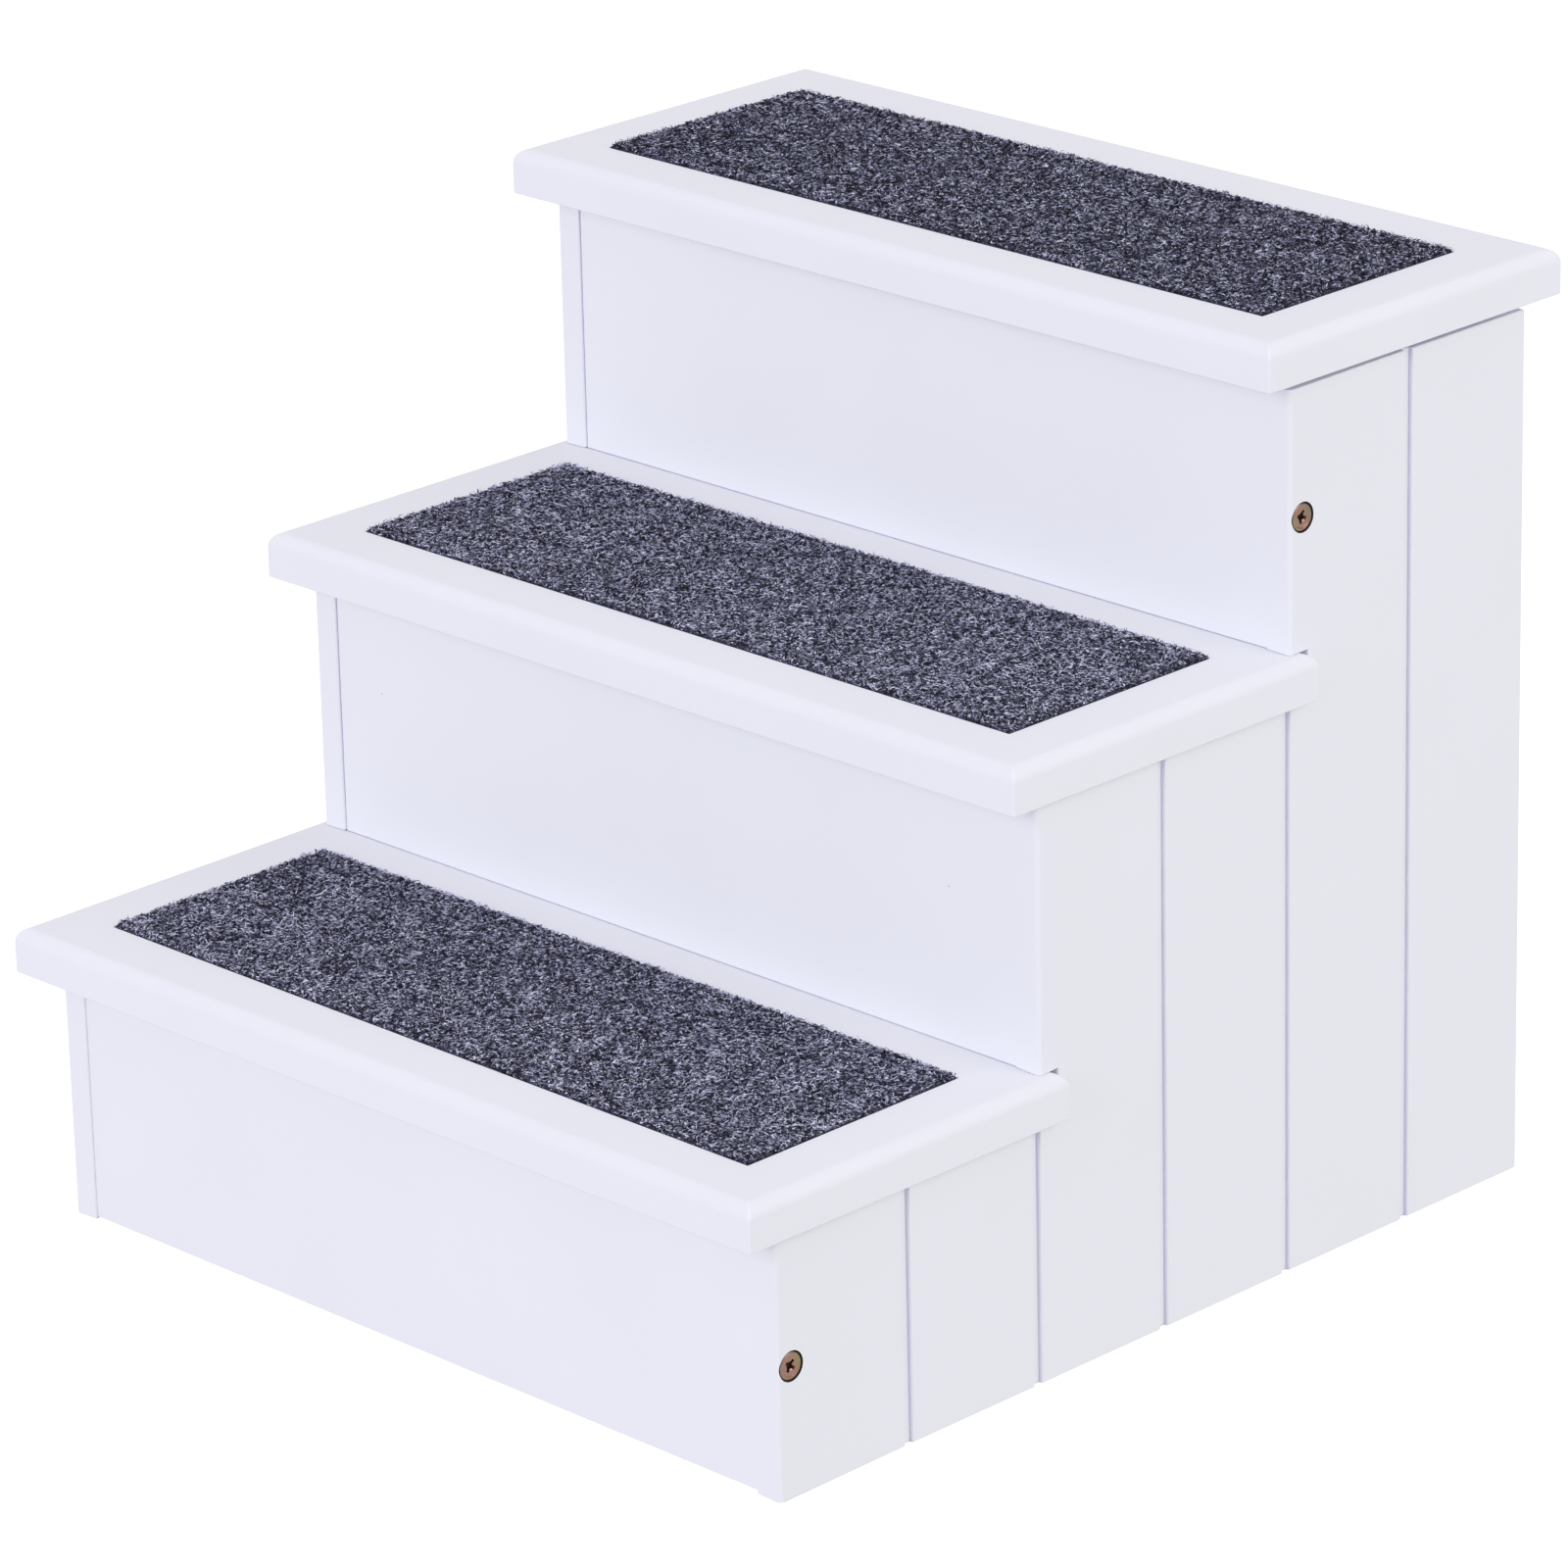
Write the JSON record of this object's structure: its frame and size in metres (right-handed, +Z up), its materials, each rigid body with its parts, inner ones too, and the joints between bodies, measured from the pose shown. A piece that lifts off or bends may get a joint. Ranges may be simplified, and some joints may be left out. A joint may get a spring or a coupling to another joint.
{
  "type": "pet stairs",
  "caption": "Low wooden stairs for a pet, with carpeted treads on closed risers between two boarded side panels.",
  "frame": {"origin": "on the floor, in the middle of the bounding box's base", "axes": "+Z up, -Y the front with the lowest step, +Y the back, +X the right side of someone who looks along +Y"},
  "size_m": [0.4, 0.439, 0.3725],
  "materials": {
    "white_paint": "satin white paint on pine",
    "raw_pine": "planed and left bare",
    "grey_felt": "needled carpet felt, flecked charcoal",
    "yellow_zinc": "yellow zinc plate on steel"
  },
  "bodies": {
    "root": {"tread_1": "white_paint", "tread_2": "white_paint", "tread_3": "white_paint", "carpet_1": "grey_felt", "carpet_2": "grey_felt", "carpet_3": "grey_felt", "riser_1": "white_paint", "riser_2": "white_paint", "riser_3": "white_paint", "right_board_1": "white_paint", "right_board_2": "white_paint", "right_board_3": "white_paint", "right_board_4": "white_paint", "right_board_5": "white_paint", "right_board_6": "white_paint", "left_board_1": "white_paint", "left_board_2": "white_paint", "left_board_3": "white_paint", "left_board_4": "white_paint", "left_board_5": "white_paint", "left_board_6": "white_paint", "right_cleat_1": "raw_pine", "right_cleat_2": "raw_pine", "right_cleat_3": "raw_pine", "left_cleat_1": "raw_pine", "left_cleat_2": "raw_pine", "left_cleat_3": "raw_pine", "right_batten": "raw_pine", "left_batten": "raw_pine", "riser_screws": "yellow_zinc", "riser_dowels": "raw_pine", "cleat_screws": "yellow_zinc", "tread_screws": "yellow_zinc"}
  },
  "joints": []
}
